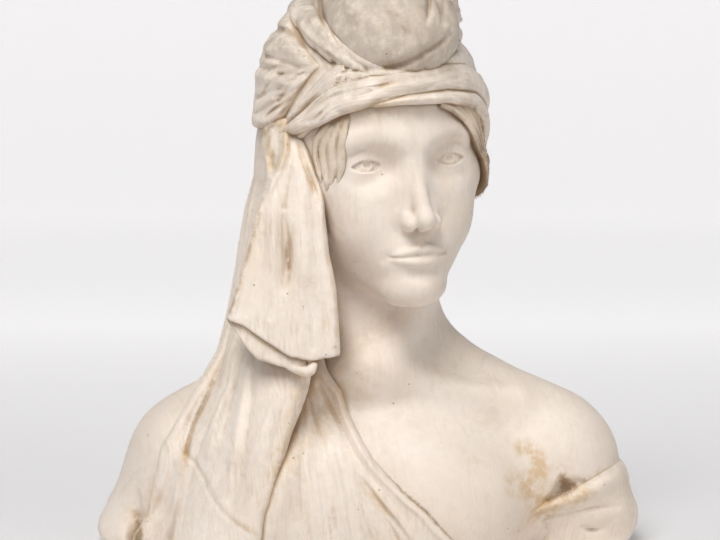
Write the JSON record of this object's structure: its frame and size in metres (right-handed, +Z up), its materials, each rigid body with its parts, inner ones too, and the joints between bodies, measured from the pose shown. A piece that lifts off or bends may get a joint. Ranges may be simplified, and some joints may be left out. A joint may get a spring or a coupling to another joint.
{
  "type": "marble bust",
  "caption": "Marble bust of a woman in a wound headscarf with a hanging end, head turned to her left, cut flat to stand at the upper arms.",
  "frame": {"origin": "middle of the part's box on its flat resting face", "axes": "+Z up, the chest faces -Y, +X towards the bust's own left shoulder"},
  "size_m": [0.3793, 0.2032, 0.4024],
  "materials": {
    "skin": "satin",
    "hair": "matte",
    "scarf": "matte",
    "topknot": "matte",
    "dress": "matte"
  },
  "bodies": {
    "root": {"figure": "skin", "hair_right": "hair", "hair_left": "hair", "turban_cap": "scarf", "wrap_low": "scarf", "wrap_middle": "scarf", "wrap_high": "scarf", "side_gather": "scarf", "topknot": "topknot", "topknot_roll": "scarf", "topknot_frill": "scarf", "lappet": "scarf", "lappet_lining": "scarf", "veil": "scarf", "bodice": "dress", "back_drape": "dress", "sleeve": "dress"}
  },
  "joints": []
}
